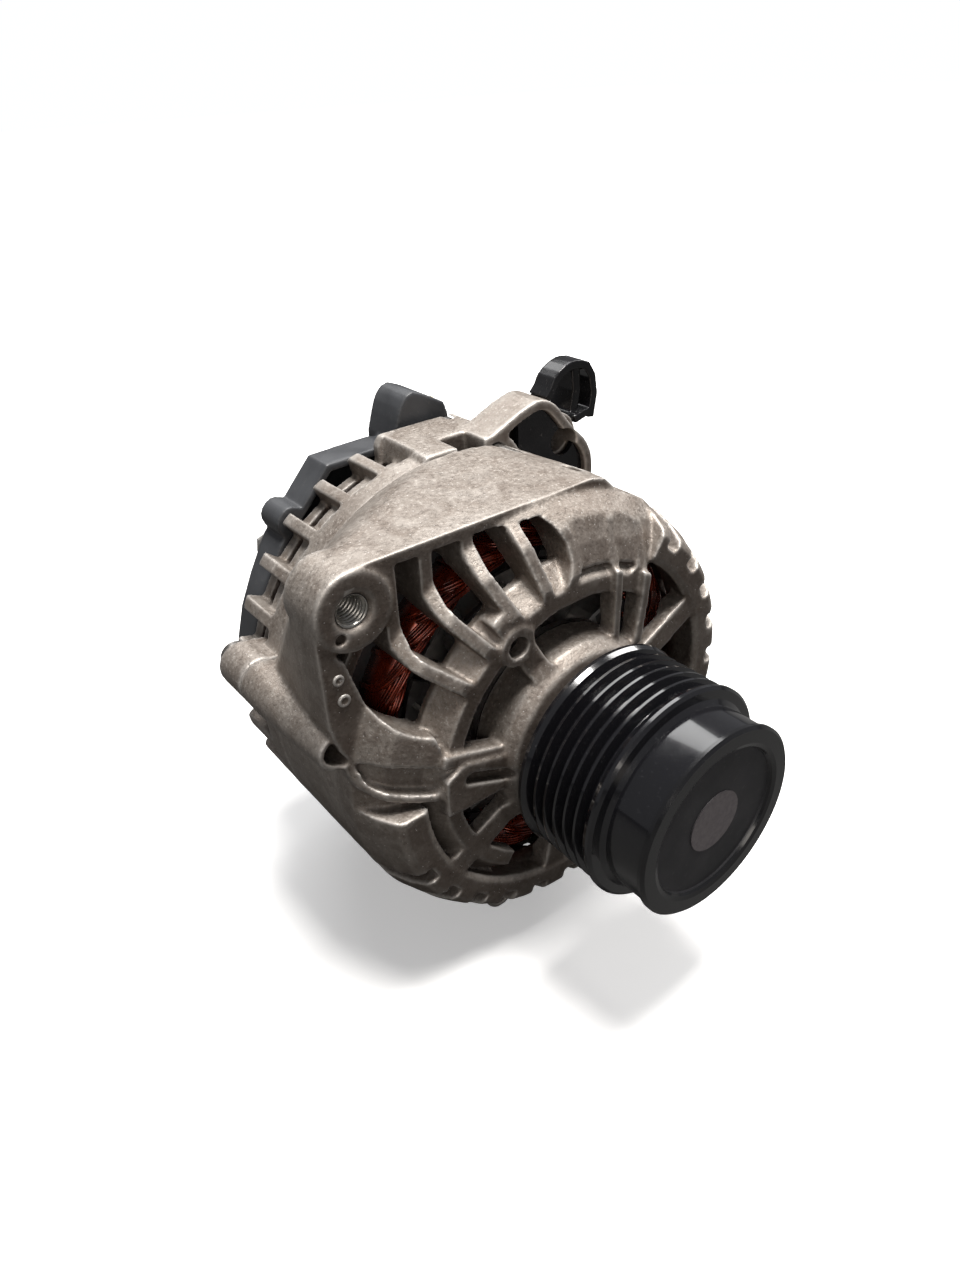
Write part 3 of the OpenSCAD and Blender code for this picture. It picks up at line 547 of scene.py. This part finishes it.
def thread():
    """A thread skin: the V ridges of an M8 x 1.25 hole, closed by an outer sleeve inside the boss wall."""
    bm = bmesh.new()
    around, per_pitch = 48, 6
    sleeve = THREAD_MAJOR + 0.12
    y0, y1 = boss.y + THREAD_START, boss.y + THREAD_END
    steps = int((y1 - y0) / THREAD_PITCH * per_pitch)
    rings = []
    for j in range(steps + 1):
        y = y0 + (y1 - y0) * j / steps
        ring = []
        for i, a in enumerate(turns(around)):
            phase = ((y - y0) / THREAD_PITCH + i / around) % 1
            groove = min(1, max(0, (1 - abs(2 * phase - 1)) * 1.3 - 0.15))
            r = THREAD_MINOR + (THREAD_MAJOR - THREAD_MINOR) * groove if j else THREAD_MAJOR
            ring.append(bm.verts.new(Vector((boss.x + r * math.cos(a), y, boss.z + r * math.sin(a))) * MM))
        rings.append(ring)
    rings += [circle(bm, boss.x, boss.z, sleeve, y, around) for y in (y1, y0)]
    for ring, following in zip(rings, rings[1:] + rings[:1]):
        bridge(bm, ring, following)
    new_piece("boss_thread", bm, "zinc_steel")


thread()


# ---- ejector-pin marks on the ear's left wall ----

# Middle across, middle up and radius of each mark
MARKS = ((-63.6, 39.2, 1.5), (-62.9, 33.2, 1.7))


def ejector_marks():
    """Plain round pads with a chamfered rim, just proud of the wall's front face."""
    wall_y = boss.y - 0.3
    bm = bmesh.new()
    for x, z, radius in MARKS:
        profile = ((radius, 1.2), (radius, -0.2), (radius - 0.35, -0.45), (radius * 0.55, -0.4),
                   (radius * 0.45, -0.25))
        rings = [circle(bm, x, z, r, wall_y + y, 40) for r, y in profile]
        for ring, following in zip(rings, rings[1:]):
            bridge(bm, ring, following)
        bm.faces.new(rings[0])
        bm.faces.new(rings[-1])
    new_piece("ejector_marks", bm, "cast_aluminium")


ejector_marks()


# ---- stator windings: bundles of enamelled wire ----

SLOTS = 36
FIRST_SLOT_DEG = 5
COIL_SPAN_DEG = 30.0
WIRE_R = 0.47
WIRE_GAP = 0.94
BUNDLE_ACROSS, BUNDLE_ALONG = 3, 4
BUNDLE_IN_R = 49.0
BUNDLE_SPREAD = 5.2
POINTS_ON_WIRE = 15
BAR_R = 0.62
BAR_IN_R = 48.0
BAR_PITCH = 1.4


def lathe(bm, profile, around):
    """A closed ring turned about the shaft axis from a list of (radius, y)."""
    rows = [[bm.verts.new(polar(r, 360 * i / around, y)) for r, y in profile] for i in range(around)]
    for row, following in zip(rows, rows[1:] + rows[:1]):
        bridge(bm, row, following)


def end_turns(bm, base, tip, rng):
    """One end of the winding: every slot sends a bundle of wires over to a slot further on."""
    outward = 1 if tip > base else -1
    reach = abs(tip - base)
    for k in range(SLOTS):
        start = k * 360 / SLOTS + FIRST_SLOT_DEG
        sway = rng.uniform(-0.7, 0.5)
        bulge = rng.uniform(-0.35, 0.35)
        for across in range(BUNDLE_ACROSS):
            for along in range(BUNDLE_ALONG):
                jitter = rng.uniform(-0.22, 0.22)
                pts = []
                for step in range(POINTS_ON_WIRE):
                    t = step / (POINTS_ON_WIRE - 1)
                    arch = math.sin(math.pi * t)
                    ease = t * t * (3 - 2 * t)
                    angle = start + COIL_SPAN_DEG * (0.12 * t + 0.88 * ease)
                    r = BUNDLE_IN_R + BUNDLE_SPREAD * ease + (across - 1) * 0.93 + (jitter + bulge) * arch
                    rise = (reach - WIRE_GAP * along - 0.5) * arch ** 0.5 + sway * arch
                    y = base + outward * (min(rise, reach - 0.5) - 0.8)
                    pts.append(polar(r, angle + 0.25 * (along - 1.5) * (1 - 2 * t), y))
                tube(bm, pts, WIRE_R * MM)
    deep, shoulder, crown = base - outward, base + outward * (reach - 5), base + outward * (reach - 3.4)
    lathe(bm, [(48.4, deep), (48.6, shoulder), (51.5, crown), (54.6, shoulder), (54.9, deep)], 144)


def windings():
    """Both ends' bundles and the straight wires through the core's slots."""
    lo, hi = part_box("stator_windings")
    core_lo, core_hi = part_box("stator_core")
    front, rear = core_lo.y * MM_PER_M, core_hi.y * MM_PER_M
    rng = random.Random(7)
    bm = bmesh.new()
    end_turns(bm, front, lo.y * MM_PER_M + 0.9, rng)
    end_turns(bm, rear, hi.y * MM_PER_M - 0.9, rng)
    for k in range(SLOTS):
        for row in range(5):
            for offset in (-0.75, 0.75):
                a = k * 360 / SLOTS + FIRST_SLOT_DEG + math.degrees(offset / 50.0)
                r = BAR_IN_R + BAR_PITCH * row
                tube(bm, [polar(r, a, front - 1.2), polar(r, a, rear + 1.2)], BAR_R * MM)
    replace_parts(new_piece("wound_wire", bm, "red_enamel"), "stator_windings")


windings()


# ---- brush springs ----

SPRING_TURNS = 8
SPRING_STEPS = 18
SPRING_WIRE_R = 0.34 * MM
SPRING_COIL_R = 1.5 * MM


def brush_spring(which):
    """A wound wire spring with closed ends, as tall as its CAD part."""
    node, joint = f"brush_spring_{which}", f"brush_{which}_lift"
    lo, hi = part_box(node)
    middle = (lo + hi) / 2
    length = hi.z - lo.z
    open_turns = SPRING_TURNS - 2
    closed_pitch = 2.06 * SPRING_WIRE_R
    open_pitch = (length - 2 * SPRING_WIRE_R - 2 * closed_pitch) / open_turns
    pts = []
    for k in range(SPRING_TURNS * SPRING_STEPS + 1):
        turn = k / SPRING_STEPS
        a = 2 * math.pi * turn
        opened = min(max(turn - 1, 0), open_turns)
        rise = closed_pitch * (turn - opened) + open_pitch * opened
        pts.append(Vector((middle.x + SPRING_COIL_R * math.cos(a), middle.y + SPRING_COIL_R * math.sin(a),
                           lo.z + SPRING_WIRE_R + rise)))
    bm = bmesh.new()
    tube(bm, pts, SPRING_WIRE_R, 10)
    obj = new_piece(f"wire_spring_{which}", bm, "spring_steel")
    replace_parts(obj, node)
    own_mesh(obj)


brush_spring("inner")
brush_spring("outer")


# ---- floor, light and camera ----

FLOOR_REACH = 6.0
# The floor's own glow rises between these distances from the object, so it fades to plain white
GLOW_NEAR, GLOW_FAR = 0.35, 0.8
SOFT_WHITE = (1.0, 0.98, 0.96)


def floor(z):
    """A pale floor that catches the shadow; it is darker to light that bounces than to the camera."""
    r = FLOOR_REACH
    bm = bmesh.new()
    bm.faces.new([bm.verts.new((x, y, z)) for x, y in ((-r, -r), (r, -r), (r, r), (-r, r))])
    obj = mesh_object("floor", bm)
    g = Graph("pale_floor")
    seen_by_camera = g.add("ShaderNodeLightPath").outputs["Is Camera Ray"]
    glow = g.map(g.length(g.coord), GLOW_NEAR, GLOW_FAR, 0.34, 1.0)
    g.set(Base_Color=g.mix(seen_by_camera, (0.07, 0.07, 0.07), (0.95, 0.95, 0.95)), Roughness=0.9,
          Specular_IOR_Level=0.1, Emission_Color=(1.0, 1.0, 1.0),
          Emission_Strength=g.times(seen_by_camera, glow))
    obj.data.materials.append(g.mat)
    obj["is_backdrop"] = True


def area(name, where, target, size, power, colour=(1, 1, 1)):
    """A rectangular lamp that points at the target."""
    light = bpy.data.lights.new(name, "AREA")
    light.shape = "RECTANGLE"
    light.size, light.size_y = size
    light.energy = power
    light.color = colour
    obj = place(name, light)
    obj.location = where
    obj.rotation_euler = (Vector(target) - Vector(where)).to_track_quat("-Z", "Y").to_euler()


def studio_world(ambient):
    """Dim, even light on the object, and plain white where the camera sees past the floor."""
    world = bpy.data.worlds.new("studio")
    world.use_nodes = True
    tree = world.node_tree
    background = tree.nodes["Background"]
    background.inputs[0].default_value = (0.95, 0.96, 1.0, 1)
    path = tree.nodes.new("ShaderNodeLightPath")
    level = tree.nodes.new("ShaderNodeMapRange")
    level.inputs["To Min"].default_value = ambient
    level.inputs["To Max"].default_value = 1.05
    tree.links.new(path.outputs["Is Camera Ray"], level.inputs["Value"])
    tree.links.new(level.outputs[0], background.inputs[1])
    scene.world = world


floor(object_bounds()[0][2])
area("key", (0.04, -0.1, 1.35), (0.02, 0.02, 0), (0.45, 0.45), 31, (1.0, 0.975, 0.945))
area("fill", (-0.7, -1.1, 0.55), (0, 0, 0), (0.7, 0.5), 2.6, (1.0, 0.93, 0.86))
area("rim", (1.1, 0.0, 0.9), (0, 0, 0), (0.25, 0.9), 9, SOFT_WHITE)
area("back", (0.5, 1.1, 1.4), (0.2, 0.4, 0), (1.4, 0.8), 14)
studio_world(0.17)

CAMERA_PLACE = (-0.13792, -0.14302, 0.15696)
CAMERA_TURN = ((0.78571, 0.36210, -0.50154), (-0.61720, 0.40450, -0.67486), (-0.04149, 0.83980, 0.54131))
camera = place("camera", bpy.data.cameras.new("camera"))
camera.data.lens = 25.32
camera.data.sensor_width = 36
camera.matrix_world = Matrix.Translation(CAMERA_PLACE) @ Matrix(CAMERA_TURN).to_4x4()
scene.camera = camera
scene.view_settings.view_transform = "Standard"
